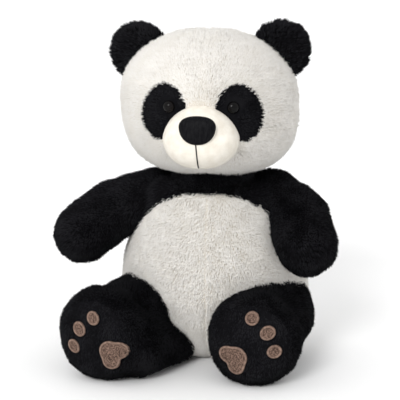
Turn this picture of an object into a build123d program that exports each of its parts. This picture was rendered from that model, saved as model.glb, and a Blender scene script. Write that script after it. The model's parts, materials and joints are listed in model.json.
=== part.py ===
from build123d import *
import math
import os

# A seated plush panda, in millimetres.
# +Z is up and the toy faces -Y. "left" and "right" are the toy's own, so its left side is at +X.
# The origin is the centre of the flat seat panel, on the surface that the toy sits on.
# Outer faces stand at the tips of the pile, so every cover holds its backing cloth and its fur.

# ---------------------------------------------------------------- driving dimensions
COVER = 4.0  # sewn cloth with its pile
WADDING_GAP = 0.6  # between a cover and the filling inside it
JOINT_GAP = 0.8  # between parts that move against each other
LIMB_GAP = 1.6  # around an arm or leg where it leaves the torso
GAP_STEP = 0.07  # by which each place of a swept limb outgrows the last, so that no two balls coincide
SEAT_THICK = 3.0
BIG = 400.0  # half-size of the blocks that cut panels apart

# Torso: (height, half width, half depth, centre in Y)
TORSO_SECTIONS = [
    (0.0, 64.0, 48.0, 0.0),
    (14.0, 82.0, 65.0, 0.0),
    (36.0, 91.5, 75.0, 0.0),
    (62.0, 93.0, 79.0, -2.0),
    (92.0, 89.0, 76.0, -4.0),
    (122.0, 80.0, 68.0, -7.0),
    (148.0, 68.0, 58.0, -11.0),
    (164.0, 56.0, 50.0, -15.0),
    (174.0, 46.0, 42.0, -18.0),
]
YOKE_RADIUS = 100.0  # the white belly is the part of the torso inside this cylinder along Y
YOKE_CENTRE_Z = 67.0
SIDE_SEAM_Y = 4.0

# Neck: the head rocks on a dome that itself turns on the torso's flat top
NECK = Vector(0, -18, 162)
NECK_DOME_R = 44.0
NECK_BASE_Z = 174.6

# Head, built about its own centre and facing -Y, then turned and placed
HEAD_CENTRE = Vector(-3, -32, 247.5)
HEAD_TURN_AT_REST = 2.0
HEAD_HALF = (84.0, 72.0, 69.0)
MUZZLE_CENTRE = Vector(0, -60, -20)
MUZZLE_HALF = (34.5, 38.0, 29.0)
NOSE_Z = -13.0
NOSE_HALF = (16.0, 12.5)
NOSE_THICK = 3.0
MOUTH_THREAD_R = 0.7
PATCH_X = 33.5
PATCH_Z = -2.0
PATCH_HALF = (20.5, 25.0)
PATCH_LEAN = 12.0
EYE_X = 29.5
EYE_Z = 3.5
EYE_R = 5.5
EYE_POST_R = 1.6
EYE_POST_LENGTH = 15.0
EYE_INSET = 2.5  # the eye's dome sits this far into the pile
WASHER_R = 6.0
WASHER_THICK = 2.0

# Ears: discs across the upper corners of the head
EAR_CENTRE = Vector(68, 10, 49)
EAR_R = 29.5
EAR_THICK = 18.0
EAR_EDGE = 7.0
EAR_ROOT_GAP = 2.5

# Arms: from the shoulder to the middle of the paw
SHOULDER = Vector(66, -8, 151)
ARM_R = 30.0
PAW_R = 29.5
LEFT_PAW = Vector(94, -66, 120)
RIGHT_PAW = Vector(-122, -42, 119)
ARM_SWING = (-8.0, 45.0)

# Legs: from the hip to the foot's middle, which is a thick round pad
HIP = Vector(54, -24, 38.5)
LEG_R = 38.0
ANKLE_R = 36.0
ANKLE_BACK = 22.0  # from the foot's middle back to the end of the leg's tube
LEFT_FOOT = Vector(57, -108, 42.5)
RIGHT_FOOT = Vector(-86, -116, 42.5)
FOOT_R = 42.5
FOOT_THICK = 38.0
FOOT_EDGE = 9.0
SOLE_THICK = 3.0
LEG_SWING = (-8.0, 18.0)

# Paw pads on a sole, in the sole's own plane: (along the toes, across them)
TOE_AT = [(13.0, 18.0), (20.0, 0.5), (13.0, -17.0)]
TOE_R = 6.2
HEEL_TIP = (-12.0, 0.0)
HEEL_TIP_R = 9.0
HEEL_LOBES = [(-22.0, 9.5), (-22.0, -9.5)]
HEEL_LOBE_R = 8.5
TOES_OUT = 53.0
PAD_THICK = 1.2

PELLET_CENTRE = (0.0, 26.0, 20.0)
PELLET_HALF = (36.0, 26.0, 14.0)
SIDES = {"left": 1, "right": -1}


# ---------------------------------------------------------------- shapes
def mirrored(point, side):
    """The same point on the toy's left (+1) or right (-1)."""
    return Vector(point.X * side, point.Y, point.Z)


def ellipsoid(half, inset=0.0):
    """A closed ellipsoid about the origin, with each half size reduced by inset and its poles on X."""
    base = 10.0
    half_x, half_y, half_z = (h - inset for h in half)
    return Rot(0, 90, 0) * scale(Sphere(base), by=(half_z / base, half_y / base, half_x / base))


def capsule(start, end, start_r, end_r):
    """Two balls joined by the cone that touches both, as one solid of revolution."""
    along = end - start
    length = along.length
    lean = math.asin((start_r - end_r) / length)

    def on_ball(centre, r, angle):
        return (centre + r * math.cos(angle), r * math.sin(angle))

    touch = math.pi / 2 - lean
    tail = (-start_r, 0)
    tip = (length + end_r, 0)
    with_tail = on_ball(0, start_r, touch)
    with_tip = on_ball(length, end_r, touch)
    outline = [
        ThreePointArc(tail, on_ball(0, start_r, (math.pi + touch) / 2), with_tail),
        Line(with_tail, with_tip),
        ThreePointArc(with_tip, on_ball(length, end_r, touch / 2), tip),
        Line(tip, tail),
    ]
    profile = make_face(Curve() + outline)
    solid = revolve(profile, axis=Axis.X)
    across = Vector(0, 0, 1).cross(along)
    return Plane(origin=start, x_dir=along, z_dir=across) * solid


def above(z):
    """Everything above a height."""
    return Pos(0, 0, z + BIG) * Box(2 * BIG, 2 * BIG, 2 * BIG)


def side_block(side):
    """Everything on the left (+1) or right (-1) of the middle plane."""
    return Pos(side * BIG, 0, 0) * Box(2 * BIG, 2 * BIG, 2 * BIG)


def in_front_of(y):
    """Everything in front of a plane across the toy."""
    return Pos(0, y - BIG, 0) * Box(2 * BIG, 2 * BIG, 2 * BIG)


def swing_axis(root, tip):
    """The level axis through root about which a limb that points at tip lifts when it turns positively."""
    flat = Vector(tip.X - root.X, tip.Y - root.Y, 0).normalized()
    return Axis(root, (flat.Y, -flat.X, 0))


def swept_room(root, tip, root_r, tip_r, swing, step):
    """A limb's capsule at a few places across its swing, from its lowest to its highest."""
    low, high = swing
    count = math.ceil((high - low) / step) + 1
    axis = swing_axis(root, tip)
    places = []
    for i in range(count):
        grow = i * GAP_STEP
        limb = capsule(root, tip, root_r + grow, tip_r + grow)
        places.append(limb.rotate(axis, low + (high - low) * i / (count - 1)))
    return places


def torso_solid(inset=0.0):
    """The torso from its flat seat to its flat top, lofted through ellipses."""
    sections = []
    last = len(TORSO_SECTIONS) - 1
    for i, (z, half_x, half_y, centre_y) in enumerate(TORSO_SECTIONS):
        rise = inset if i == 0 else -inset if i == last else 0.0
        sections.append(Pos(0, centre_y, z + rise) * Ellipse(half_x - inset, half_y - inset))
    return loft(sections)


# ---------------------------------------------------------------- limbs, as plain outer and inner solids
def arm_ends(side):
    return mirrored(SHOULDER, side), LEFT_PAW if side > 0 else RIGHT_PAW


def arm_solid(side, inset=0.0):
    shoulder, paw = arm_ends(side)
    return capsule(shoulder, paw, ARM_R - inset, PAW_R - inset)


def leg_ends(side):
    return mirrored(HIP, side), LEFT_FOOT if side > 0 else RIGHT_FOOT


def ankle_end(side):
    """Where the leg's tube ends inside the foot, level with the hip and short of the sole."""
    hip, foot = leg_ends(side)
    ahead = Vector(foot.X - hip.X, foot.Y - hip.Y, 0)
    return hip + ahead * (1 - ANKLE_BACK / ahead.length)


def foot_plane(side, out=0.0):
    """The sole's plane: its origin at the foot's middle moved out along the leg, its X towards the toes."""
    hip, foot = leg_ends(side)
    ahead = Vector(foot.X - hip.X, foot.Y - hip.Y, 0).normalized()
    across = Vector(0, 0, 1).cross(ahead)
    lean = math.radians(TOES_OUT)
    toes = Vector(0, 0, 1) * math.cos(lean) + across * (-math.sin(lean) * -side)
    return Plane(origin=foot + ahead * out, x_dir=toes, z_dir=ahead)


def leg_solid(side, inset=0.0):
    shin = capsule(mirrored(HIP, side), ankle_end(side), LEG_R - inset, ANKLE_R - inset)
    pad = Cylinder(FOOT_R - inset, FOOT_THICK - 2 * inset)
    pad = fillet(pad.edges().filter_by(GeomType.CIRCLE), FOOT_EDGE - inset)
    return shin + foot_plane(side) * pad


# ---------------------------------------------------------------- torso pieces
def neck_ball(r):
    return Pos(*NECK) * Sphere(r)


def yoke_cylinder():
    return Pos(0, 0, YOKE_CENTRE_Z) * Rot(90, 0, 0) * Cylinder(YOKE_RADIUS, 2 * BIG)


def limb_room(extra):
    """The room that arms and legs need inside the torso over their whole swing."""
    room = []
    for side in SIDES.values():
        shoulder, paw = arm_ends(side)
        room += swept_room(shoulder, paw, ARM_R + extra, PAW_R + extra, ARM_SWING, step=14)
        hip = mirrored(HIP, side)
        room += swept_room(hip, ankle_end(side), LEG_R + extra, ANKLE_R + extra, LEG_SWING, step=10)
    return room


def torso_pieces():
    seat_hole = Pos(0, TORSO_SECTIONS[0][3], 0)
    seat_half = (TORSO_SECTIONS[0][1] - COVER, TORSO_SECTIONS[0][2] - COVER)
    seat = seat_hole * extrude(Ellipse(*seat_half), SEAT_THICK)
    room = limb_room(LIMB_GAP)
    cover = torso_solid() - torso_solid(COVER) - seat - room
    seat -= room
    pellets = Pos(*PELLET_CENTRE) * ellipsoid(PELLET_HALF)
    pellet_room = Pos(*PELLET_CENTRE) * ellipsoid(PELLET_HALF, -WADDING_GAP)
    filling = torso_solid(COVER + WADDING_GAP) - pellet_room - limb_room(LIMB_GAP + COVER)
    yoke = cover - yoke_cylinder()
    white = cover & yoke_cylinder()
    front = in_front_of(SIDE_SEAM_Y)
    pieces = {
        "seat_panel": seat,
        "chest_yoke": yoke & front,
        "back_yoke": yoke - front,
        "body_stuffing": filling,
        "pellet_bag": pellets,
    }
    for name, side in SIDES.items():
        half = white & side_block(side)
        pieces["belly_panel_" + name] = half & front
        pieces["back_panel_" + name] = half - front
    return pieces


def neck_pieces():
    base = above(NECK_BASE_Z)
    outer = neck_ball(NECK_DOME_R)
    inner = neck_ball(NECK_DOME_R - COVER) & above(NECK_BASE_Z + COVER)
    filling = neck_ball(NECK_DOME_R - COVER - WADDING_GAP) & above(NECK_BASE_Z + COVER + WADDING_GAP)
    return {"neck_cover": (outer & base) - inner, "neck_stuffing": filling}


# ---------------------------------------------------------------- head pieces, in the head's own frame
def on_head(x, z, inset=0.0):
    """The point of the head's front face straight ahead of (x, z)."""
    a, b, c = (h - inset for h in HEAD_HALF)
    return Vector(x, -b * math.sqrt(1 - (x / a) ** 2 - (z / c) ** 2), z)


def head_normal(point):
    a, b, c = HEAD_HALF
    return Vector(point.X / a**2, point.Y / b**2, point.Z / c**2).normalized()


def patch_prism(side, grow=0.0):
    """A prism along Y through an eye patch, which leans out at the bottom."""
    half_x, half_z = (h + grow for h in PATCH_HALF)
    face = Ellipse(half_x, half_z)
    at = Pos(side * PATCH_X, -HEAD_HALF[1], PATCH_Z) * Rot(0, -side * PATCH_LEAN, 0) * Rot(90, 0, 0)
    return at * extrude(face, HEAD_HALF[1], both=True) & in_front_of(0)


def eye_parts(side):
    """A dome with its post, and the washer that locks it, about the local normal."""
    seat = on_head(side * EYE_X, EYE_Z)
    out = head_normal(seat)
    place = Plane(origin=seat - out * EYE_INSET, x_dir=(0, 0, 1), z_dir=out)
    dome = Sphere(EYE_R) & above(0)
    dome = scale(dome, by=(1, 1, 0.8))
    post = Pos(0, 0, -EYE_POST_LENGTH / 2) * Cylinder(EYE_POST_R, EYE_POST_LENGTH)
    washer_z = -COVER - WADDING_GAP - WASHER_THICK / 2
    washer = Pos(0, 0, washer_z) * (
        Cylinder(WASHER_R, WASHER_THICK) - Cylinder(EYE_POST_R + 0.05, WASHER_THICK)
    )
    post_hole = Pos(0, 0, -EYE_POST_LENGTH / 2) * Cylinder(EYE_POST_R + 0.05, EYE_POST_LENGTH)
    dome_room = Sphere(EYE_R + 0.1)
    washer_depth = EYE_POST_LENGTH + WADDING_GAP
    filling_room = Pos(0, 0, -washer_depth / 2) * Cylinder(WASHER_R + WADDING_GAP, washer_depth)
    return (
        place * (dome + post),
        place * washer,
        place * (post_hole + (dome_room & above(0))),
        place * filling_room,
    )


def muzzle_solid(inset=0.0):
    return Pos(*MUZZLE_CENTRE) * ellipsoid(MUZZLE_HALF, inset)


def nose_prism():
    """A prism along Y through the padded nose on the muzzle's front."""
    at = Pos(0, MUZZLE_CENTRE.Y, NOSE_Z) * Rot(90, 0, 0)
    return at * extrude(Ellipse(*NOSE_HALF), 2 * MUZZLE_HALF[1])


def head_pieces(neck_hollow):
    """Cover panels, filling and face pieces. neck_hollow(r) is the neck's ball in the head's frame."""
    outer, inner = ellipsoid(HEAD_HALF), ellipsoid(HEAD_HALF, COVER)
    cover = outer - inner - neck_hollow(NECK_DOME_R + JOINT_GAP) - muzzle_solid()
    filling = ellipsoid(HEAD_HALF, COVER + WADDING_GAP)
    filling -= neck_hollow(NECK_DOME_R + JOINT_GAP + COVER)
    pieces = {}
    for name, side in SIDES.items():
        eye, washer, eye_hole, filling_room = eye_parts(side)
        patch = cover & patch_prism(side)
        cover -= patch_prism(side)
        pieces["eye_" + name] = eye
        pieces["eye_washer_" + name] = washer
        pieces["eye_patch_" + name] = patch - eye_hole
        filling -= filling_room
        pieces["ear_front_" + name], pieces["ear_back_" + name] = ear_halves(side)
    front = in_front_of(SIDE_SEAM_Y)
    for name, side in SIDES.items():
        half = cover & side_block(side)
        pieces["face_panel_" + name] = half & front
        pieces["head_back_" + name] = half - front
    pieces["head_stuffing"] = filling
    pieces["nose_patch"] = (muzzle_solid(-NOSE_THICK) & nose_prism()) - muzzle_solid()
    pieces["muzzle_cover"] = muzzle_solid() - muzzle_solid(COVER) - inner
    pieces["muzzle_stuffing"] = muzzle_solid(COVER + WADDING_GAP) - inner
    pieces["mouth_stitch"] = mouth_stitch()
    return pieces


def mouth_stitch():
    """One line of thread down the muzzle's front, lying on its surface below the nose."""
    _, half_y, half_z = MUZZLE_HALF
    top = math.radians(6.0)
    bottom = math.radians(-58.0)

    def on_muzzle(angle):
        y = -(half_y + MOUTH_THREAD_R) * math.cos(angle)
        z = (half_z + MOUTH_THREAD_R) * math.sin(angle)
        return MUZZLE_CENTRE + Vector(0, y, z)

    path = ThreePointArc(on_muzzle(top), on_muzzle((top + bottom) / 2), on_muzzle(bottom))
    section = Plane(origin=path @ 0, z_dir=path % 0) * Circle(MOUTH_THREAD_R)
    thread = sweep(section, path=path)
    return thread - muzzle_solid() - nose_prism()


def ear_halves(side):
    """An ear's front and back panels, cut clear of the head so that the ear can fold."""
    disc = Rot(90, 0, 0) * Cylinder(EAR_R, EAR_THICK)
    disc = fillet(disc.edges().filter_by(GeomType.CIRCLE), EAR_EDGE)
    ear = Pos(*mirrored(EAR_CENTRE, side)) * disc - ellipsoid(HEAD_HALF, -EAR_ROOT_GAP)
    front = in_front_of(EAR_CENTRE.Y)
    return ear & front, ear - front


# ---------------------------------------------------------------- limb pieces
def arm_pieces(name, side):
    shoulder, paw = arm_ends(side)
    cover = arm_solid(side) - arm_solid(side, COVER)
    seam = Plane(origin=shoulder, x_dir=paw - shoulder, z_dir=Vector(0, 0, 1).cross(paw - shoulder))
    # The seam runs round the arm in the plane through its axis that leans least from upright.
    front = seam * (Pos(0, 0, -side * BIG) * Box(2 * BIG, 2 * BIG, 2 * BIG))
    return {
        "arm_front_" + name: cover & front,
        "arm_back_" + name: cover - front,
        "arm_stuffing_" + name: arm_solid(side, COVER + WADDING_GAP),
    }


def pads_on_sole(side):
    """Toe pads as a group of discs and one heel pad, standing on the sole's face."""
    face = foot_plane(side, FOOT_THICK / 2)
    toes = Part() + [Pos(a, side * b, PAD_THICK / 2) * Cylinder(TOE_R, PAD_THICK) for a, b in TOE_AT]
    tip = Pos(*HEEL_TIP) * Circle(HEEL_TIP_R)
    lobes = [Pos(*at) * Circle(HEEL_LOBE_R) for at in HEEL_LOBES]
    outline = Sketch() + [make_hull(tip.edges() + lobe.edges()) for lobe in lobes]
    return face * toes, face * extrude(outline, PAD_THICK)


def leg_pieces(name, side):
    hip, foot = leg_ends(side)
    cover = leg_solid(side) - leg_solid(side, COVER)
    sole_place = foot_plane(side, FOOT_THICK / 2 - SOLE_THICK)
    sole = sole_place * (Pos(0, 0, SOLE_THICK / 2) * Cylinder(FOOT_R - FOOT_EDGE, SOLE_THICK))
    cover -= sole
    toes, heel = pads_on_sole(side)
    ahead = Vector(foot.X - hip.X, foot.Y - hip.Y, 0)
    seam = Plane(origin=hip, x_dir=ahead, z_dir=Vector(0, 0, 1).cross(ahead))
    outer_side = seam * (Pos(0, 0, side * BIG) * Box(2 * BIG, 2 * BIG, 2 * BIG))
    return {
        "leg_outer_" + name: cover & outer_side,
        "leg_inner_" + name: cover - outer_side,
        "leg_stuffing_" + name: leg_solid(side, COVER + WADDING_GAP),
        "sole_" + name: sole,
        "toe_pads_" + name: toes,
        "heel_pad_" + name: heel,
    }


# ---------------------------------------------------------------- the whole toy
def all_pieces():
    head_place = Location(tuple(HEAD_CENTRE), (0, 0, HEAD_TURN_AT_REST))

    def neck_hollow(r):
        return head_place.inverse() * neck_ball(r)

    pieces = torso_pieces()
    pieces.update(neck_pieces())
    pieces.update({name: head_place * piece for name, piece in head_pieces(neck_hollow).items()})
    for name, side in SIDES.items():
        pieces.update(arm_pieces(name, side))
        pieces.update(leg_pieces(name, side))
    return pieces


os.makedirs("parts", exist_ok=True)
for node, piece in all_pieces().items():
    export_step(Compound(piece.solids()), f"parts/{node}.step")
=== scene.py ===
"""The looks of a seated plush panda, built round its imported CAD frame.

Shapes are worked out in millimetres and turned into metres when a mesh is made.
Every stuffed part is a skin, taken from a smooth distance field, with a pile of tufts rooted on it.
The legs, the paw pads and a few marked offsets aren't placed from the frame.
"""

import json
import math

import bpy
import numpy as np
import openvdb
from mathutils import Matrix, Vector


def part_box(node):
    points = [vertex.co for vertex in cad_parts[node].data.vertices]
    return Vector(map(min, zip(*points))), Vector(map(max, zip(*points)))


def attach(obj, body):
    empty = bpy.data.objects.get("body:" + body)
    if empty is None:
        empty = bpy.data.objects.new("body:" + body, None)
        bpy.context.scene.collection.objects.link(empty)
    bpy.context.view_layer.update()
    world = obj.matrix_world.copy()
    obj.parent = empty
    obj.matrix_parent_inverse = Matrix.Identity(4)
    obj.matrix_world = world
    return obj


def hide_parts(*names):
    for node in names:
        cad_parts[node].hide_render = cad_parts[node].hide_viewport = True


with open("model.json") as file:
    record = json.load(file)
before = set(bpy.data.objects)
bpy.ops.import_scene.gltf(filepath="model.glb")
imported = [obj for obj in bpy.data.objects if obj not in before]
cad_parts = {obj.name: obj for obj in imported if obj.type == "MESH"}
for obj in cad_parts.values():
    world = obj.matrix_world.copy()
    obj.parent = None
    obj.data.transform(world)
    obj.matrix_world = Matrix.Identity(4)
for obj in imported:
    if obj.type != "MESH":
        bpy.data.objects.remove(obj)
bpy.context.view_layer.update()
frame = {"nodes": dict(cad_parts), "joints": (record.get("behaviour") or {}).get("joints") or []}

MM = 0.001  # metres in a millimetre

# ---------------------------------------------------------------- driving values, in millimetres
SKIN_INSET = 4.2  # from the CAD's outer face, where the tips of the pile are, in to the backing cloth
SKIN_VOXEL = 2.5
PILE_SPACING = 1.15
WHITE_SPACING = 1.0
EAR_SPACING = 1.05
SHORN_SPACING = 0.85
WHITE_PILE = 5.0
BLACK_PILE = 6.4
EAR_PILE = 7.5
PATCH_PILE = 4.6
SHORN_PILE = 1.5
SOLE_PILE = 4.2
FLOOR_CLEARANCE = 0.3
TUFTS_PER_PIECE = 22000  # keeps each piece under 200 000 triangles

# the record's material slots
WHITE_SLOT = "white_plush"
BLACK_SLOT = "black_plush"
MUZZLE_SLOT = "muzzle_plush"
NOSE_SLOT = "nose_satin"
THREAD_SLOT = "black_thread"
PAD_SLOT = "pad_cloth"
FIBRE_SLOT = "fibre_fill"

SIDES = {"left": 1.0, "right": -1.0}

# how the soft white pile lies: well combed down, and not gathered into locks
WHITE_STYLE = {"lean": 0.45, "width": 0.95, "wander": 0.22, "jitter": 0.26, "clump": 2.4, "gather": 0.0}


# ---------------------------------------------------------------- reading the frame
def node_box(*nodes):
    """Lowest and highest corner of several CAD nodes together, in millimetres."""
    boxes = [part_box(node) for node in nodes]
    low = np.min([np.array(b[0]) for b in boxes], axis=0) / MM
    high = np.max([np.array(b[1]) for b in boxes], axis=0) / MM
    return low, high


JOINTS = {joint["name"]: joint for joint in frame["joints"]}


def pivot(joint):
    return np.array(JOINTS[joint]["pos_m"]) / MM


# ---------------------------------------------------------------- vectors and gentle noise
def unit(v):
    return v / np.maximum(np.linalg.norm(v, axis=-1, keepdims=True), 1e-9)


def dot(a, b):
    return (a * b).sum(-1)


def tangent(v, normals):
    """The part of v that lies along the surface."""
    return v - dot(v, normals)[:, None] * normals


def ripple(p, wavelength, seed):
    """A smooth wandering value near -1 to 1, which changes over about one wavelength."""
    draw = np.random.default_rng(seed)
    waves = unit(draw.normal(size=(7, 3))) * (2 * np.pi / wavelength) * draw.uniform(0.6, 1.5, (7, 1))
    phases = draw.uniform(0, 2 * np.pi, 7)
    return np.sin(p @ waves.T + phases).sum(-1) / 3.2


def ripple_vector(p, wavelength, seed):
    return np.stack([ripple(p, wavelength, seed + i) for i in range(3)], -1)


# ---------------------------------------------------------------- distance fields
def ball_field(centre, half, power=2.0):
    """An ellipsoid, or with a higher power a boxier one. Its value is close to a distance."""
    centre, half = np.asarray(centre, float), np.asarray(half, float)

    def field(p):
        q = np.maximum(np.abs(p - centre) / half, 1e-6)
        r = (q**power).sum(-1) ** (1 / power)
        slope = np.linalg.norm(r[..., None] ** (1 - power) * q ** (power - 1) / half, axis=-1)
        return np.maximum((r - 1) / np.maximum(slope, 1e-6), -half.min())

    return field


def rod_field(points, radii):
    """Balls of the given radii along a line of points, joined by cones."""
    points = [np.asarray(point, float) for point in points]

    def field(p):
        best = np.full(p.shape[:-1], 1e9)
        for start, end, r0, r1 in zip(points[:-1], points[1:], radii[:-1], radii[1:]):
            along = end - start
            t = np.clip((p - start) @ along / (along @ along), 0, 1)
            d = np.linalg.norm(p - start - t[..., None] * along, axis=-1) - (r0 + t * (r1 - r0))
            best = np.minimum(best, d)
        return best

    return field


def disc_field(centre, normal, radius, half_thick, edge):
    """A thick disc whose rim is rounded by edge."""
    centre, normal = np.asarray(centre, float), unit(np.asarray(normal, float))

    def field(p):
        q = p - centre
        h = q @ normal
        r = np.linalg.norm(q - h[..., None] * normal, axis=-1)
        dr, dh = r - (radius - edge), np.abs(h) - (half_thick - edge)
        outside = np.hypot(np.maximum(dr, 0), np.maximum(dh, 0))
        return outside + np.minimum(np.maximum(dr, dh), 0) - edge

    return field


def joined(a, b, blend):
    """Two shapes run together over about blend millimetres."""

    def field(p):
        da, db = a(p), b(p)
        h = np.clip(0.5 + 0.5 * (db - da) / blend, 0, 1)
        return db * (1 - h) + da * h - blend * h * (1 - h)

    return field


def shifted(base, amount):
    """The same shape grown by amount, which may be a function of place."""

    def field(p):
        return base(p) - (amount(p) if callable(amount) else amount)

    return field


def slopes(field, p, step=0.4):
    """The field's gradient."""
    out = np.empty_like(p)
    for axis in range(3):
        nudge = np.zeros(3)
        nudge[axis] = step
        out[:, axis] = (field(p + nudge) - field(p - nudge)) / (2 * step)
    return out


def settle(field, p, rounds=2):
    """Points moved onto the field's surface, with their normals."""
    for _ in range(rounds):
        g = slopes(field, p)
        p = p - g * (field(p) / np.maximum(dot(g, g), 1e-6))[:, None]
    return p, unit(slopes(field, p))


def skin_mesh(field, low, high, voxel):
    """Points and quads of the field's surface inside a box."""
    low, high = np.asarray(low, float) - 2 * voxel, np.asarray(high, float) + 2 * voxel
    counts = np.ceil((high - low) / voxel).astype(int) + 1
    values = np.empty(counts, np.float32)
    ys = low[1] + voxel * np.arange(counts[1])
    zs = low[2] + voxel * np.arange(counts[2])
    grid_y, grid_z = np.meshgrid(ys, zs, indexing="ij")
    layer = np.empty(grid_y.shape + (3,))
    layer[..., 1], layer[..., 2] = grid_y, grid_z
    for i in range(counts[0]):
        layer[..., 0] = low[0] + voxel * i
        values[i] = field(layer)
    grid = openvdb.FloatGrid(1e3)
    grid.copyFromArray(values)
    points, quads = grid.convertToQuads(isovalue=0.0)
    return np.asarray(points, float) * voxel + low, np.asarray(quads)


# ---------------------------------------------------------------- meshes and materials
def new_object(name, mesh, body, slot, *materials):
    obj = bpy.data.objects.new(name, mesh)
    bpy.context.scene.collection.objects.link(obj)
    for material in materials:
        mesh.materials.append(material)
    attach(obj, body)
    return obj


def mesh_from(name, points, faces):
    """A smooth mesh from points in millimetres."""
    mesh = bpy.data.meshes.new(name)
    mesh.from_pydata((np.asarray(points) * MM).tolist(), [], [list(map(int, f)) for f in faces])
    mesh.polygons.foreach_set("use_smooth", np.ones(len(mesh.polygons), bool))
    mesh.update()
    return mesh


def principled(name, colour, roughness, **more):
    """A Principled material. Keyword names are socket names with underscores for spaces."""
    material = bpy.data.materials.new(name)
    material.use_nodes = True
    shader = material.node_tree.nodes["Principled BSDF"]
    shader.inputs["Base Color"].default_value = (*colour, 1)
    shader.inputs["Roughness"].default_value = roughness
    for key, value in more.items():
        shader.inputs[key.replace("_", " ")].default_value = value
    return material


def add_pattern(material, dark, light, scale, bump=0.0, bump_scale=None, stretch=(1, 1, 1), edge=0.15):
    """Mottles a material between two colours, with a bump of its own scale."""
    tree = material.node_tree
    shader = tree.nodes["Principled BSDF"]
    place = tree.nodes.new("ShaderNodeTexCoord")
    mapping = tree.nodes.new("ShaderNodeMapping")
    mapping.inputs["Scale"].default_value = stretch
    tree.links.new(place.outputs["Object"], mapping.inputs["Vector"])
    noise = tree.nodes.new("ShaderNodeTexNoise")
    noise.inputs["Scale"].default_value = scale
    noise.inputs["Detail"].default_value = 4
    tree.links.new(mapping.outputs["Vector"], noise.inputs["Vector"])
    ramp = tree.nodes.new("ShaderNodeValToRGB")
    ramp.color_ramp.elements[0].position = 0.5 - edge
    ramp.color_ramp.elements[1].position = 0.5 + edge
    ramp.color_ramp.elements[0].color = (*dark, 1)
    ramp.color_ramp.elements[1].color = (*light, 1)
    tree.links.new(noise.outputs["Fac"], ramp.inputs["Fac"])
    tree.links.new(ramp.outputs["Color"], shader.inputs["Base Color"])
    if bump:
        grain = tree.nodes.new("ShaderNodeTexNoise")
        grain.inputs["Scale"].default_value = bump_scale or scale
        grain.inputs["Detail"].default_value = 3
        tree.links.new(mapping.outputs["Vector"], grain.inputs["Vector"])
        lift = tree.nodes.new("ShaderNodeBump")
        lift.inputs["Strength"].default_value = bump
        lift.inputs["Distance"].default_value = 0.0006
        tree.links.new(grain.outputs["Fac"], lift.inputs["Height"])
        tree.links.new(lift.outputs["Normal"], shader.inputs["Normal"])
    return material


def pile_set(name, root_shade, tones, **more):
    """Materials of a pile: one for the roots, painted darker as shade among the tufts, then several tip tones
    that mix on the surface.
    """
    root_shade_material = principled(name + "_root_shade", root_shade, 0.9, **more)
    return [root_shade_material] + [principled(f"{name}_{i}", tone, 0.8, **more) for i, tone in enumerate(tones)]


# The first colour of each set is for the roots, painted darker than the tips as shade among the tufts.
WHITE_PILE_SET = pile_set(
    "white_pile",
    (0.82, 0.79, 0.73),
    [(0.88, 0.855, 0.81), (0.90, 0.88, 0.845), (0.86, 0.83, 0.775)],
    Specular_IOR_Level=0.2,
)
BLACK_PILE_SET = pile_set(
    "black_pile",
    (0.002, 0.002, 0.0025),
    [(0.004, 0.004, 0.005), (0.007, 0.007, 0.009), (0.012, 0.012, 0.014)],
    Specular_IOR_Level=0.08,
)
SHORN_SET = pile_set(
    "shorn_pile",
    (0.70, 0.645, 0.555),
    [(0.80, 0.755, 0.68), (0.83, 0.795, 0.73), (0.77, 0.72, 0.64)],
    Specular_IOR_Level=0.2,
)


# ---------------------------------------------------------------- pile
def pile_mesh(name, roots, normals, lean, length, width, bend, draw):
    """Three-sided tufts that taper and curve, shaded mostly like the surface that they stand on."""
    count = len(roots)
    along = unit(normals + lean)
    spin = unit(np.cross(along, draw.normal(size=(count, 3))))
    across = np.cross(along, spin)
    reach = length[:, None]
    middle = roots + along * reach * 0.5 + bend * 0.3
    tip = roots + along * reach + bend
    points = np.empty((count, 7, 3))
    shade = np.empty((count, 7, 3))
    for corner in range(3):
        turn = 2 * np.pi * corner / 3
        radial = np.cos(turn) * spin + np.sin(turn) * across
        points[:, corner] = roots - normals * 0.4 + radial * (width * 0.5)[:, None]
        points[:, 3 + corner] = middle + radial * (width * 0.42)[:, None]
        shade[:, corner] = unit(normals * 4.0 + radial)
        shade[:, 3 + corner] = unit(normals * 4.0 + radial)
    points[:, 6] = tip
    shade[:, 6] = unit(normals * 3.0 + along)
    points[..., 2] = np.maximum(points[..., 2], FLOOR_CLEARANCE)
    ring = [(i, (i + 1) % 3) for i in range(3)]
    pattern = []
    for a, b in ring:
        pattern += [a, b, 3 + b, 3 + a]
    for a, b in ring:
        pattern += [3 + a, 3 + b, 6]
    starts = np.array([0, 4, 8, 12, 15, 18])
    mesh = bpy.data.meshes.new(name)
    mesh.vertices.add(7 * count)
    mesh.loops.add(21 * count)
    mesh.polygons.add(6 * count)
    mesh.vertices.foreach_set("co", (points * MM).astype(np.float32).ravel())
    loops = (np.array(pattern)[None, :] + 7 * np.arange(count)[:, None]).ravel()
    mesh.loops.foreach_set("vertex_index", loops.astype(np.int32))
    begins = (starts[None, :] + 21 * np.arange(count)[:, None]).ravel()
    mesh.polygons.foreach_set("loop_start", begins.astype(np.int32))
    mesh.polygons.foreach_set("use_smooth", np.ones(6 * count, bool))
    mesh.update(calc_edges=True)
    mesh.normals_split_custom_set_from_vertices(shade.reshape(-1, 3))
    return mesh


def paint_tufts(mesh, tones):
    """Lower half of each tuft in the root material, painted darker as shade among the tufts; upper half in the
    tone chosen for it.
    """
    index = np.zeros((len(tones), 6), np.int32)
    index[:, 3:] = 1 + tones[:, None]
    mesh.polygons.foreach_set("material_index", index.ravel())


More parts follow.
